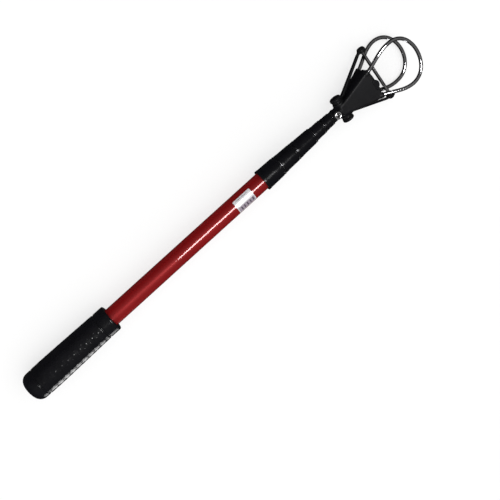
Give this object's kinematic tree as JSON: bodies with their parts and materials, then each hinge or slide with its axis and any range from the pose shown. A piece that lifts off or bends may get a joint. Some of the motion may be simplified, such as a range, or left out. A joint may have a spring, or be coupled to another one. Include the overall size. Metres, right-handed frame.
{
  "type": "golf ball retriever",
  "caption": "Telescopic golf ball retriever: black grip, red outer tube, stepped collars, and a head of chromed wire loops with a swinging gate bar that traps the ball.",
  "frame": {"origin": "centre of the flat end of the grip's butt", "axes": "+X along the tool from the butt to the tips of the loops, +Y along the gate's hinge pin, +Z square to the planes of the loops"},
  "size_m": [0.5141, 0.0652, 0.0366],
  "materials": {
    "grip_rubber": "moulded, satin with a raised dot pattern",
    "gloss_black": "glossy moulded black",
    "satin_black": "moulded black nylon, satin",
    "red_tube": "glossy deep red lacquer over metal",
    "bare_tube": "bright drawn steel",
    "nylon": "natural nylon",
    "chrome": "polished chrome plate",
    "label_foil": "printed silver-white film"
  },
  "bodies": {
    "handle": {"grip": "grip_rubber", "butt_plug": "gloss_black", "tube_1": "red_tube", "label": "label_foil", "collar_1": "gloss_black"},
    "section_2": {"tube_2": "bare_tube", "bush_2": "nylon", "collar_2": "gloss_black"},
    "section_3": {"tube_3": "bare_tube", "bush_3": "nylon", "collar_3": "gloss_black"},
    "section_4": {"tube_4": "bare_tube", "bush_4": "nylon", "collar_4": "gloss_black"},
    "section_5": {"tube_5": "bare_tube", "bush_5": "nylon", "collar_5": "gloss_black"},
    "section_6": {"tube_6": "bare_tube", "bush_6": "nylon", "head_body": "satin_black", "front_plate": "satin_black", "plate_screw": "chrome", "neck_rivet": "chrome", "neck_eyelet": "chrome", "loop_upper": "chrome", "loop_lower": "chrome", "pivot_pin": "chrome", "knob_left": "satin_black", "knob_right": "satin_black"},
    "gate": {"gate_arm_left": "satin_black", "gate_arm_right": "satin_black", "gate_bar": "chrome", "bar_cap_left": "satin_black", "bar_cap_right": "satin_black"}
  },
  "joints": [
    {"name": "slide_2", "type": "slide", "parent": "handle", "child": "section_2", "axis": [1, 0, 0], "range_m": [0, 0.27]},
    {"name": "slide_3", "type": "slide", "parent": "section_2", "child": "section_3", "axis": [1, 0, 0], "range_m": [0, 0.27]},
    {"name": "slide_4", "type": "slide", "parent": "section_3", "child": "section_4", "axis": [1, 0, 0], "range_m": [0, 0.27]},
    {"name": "slide_5", "type": "slide", "parent": "section_4", "child": "section_5", "axis": [1, 0, 0], "range_m": [0, 0.27]},
    {"name": "slide_6", "type": "slide", "parent": "section_5", "child": "section_6", "axis": [1, 0, 0], "range_m": [0, 0.27]},
    {"name": "gate_hinge", "type": "hinge", "parent": "section_6", "child": "gate", "pos_m": [0.419, 0, 0], "axis": [0, -1, 0], "range_deg": [0, 19.2]}
  ]
}
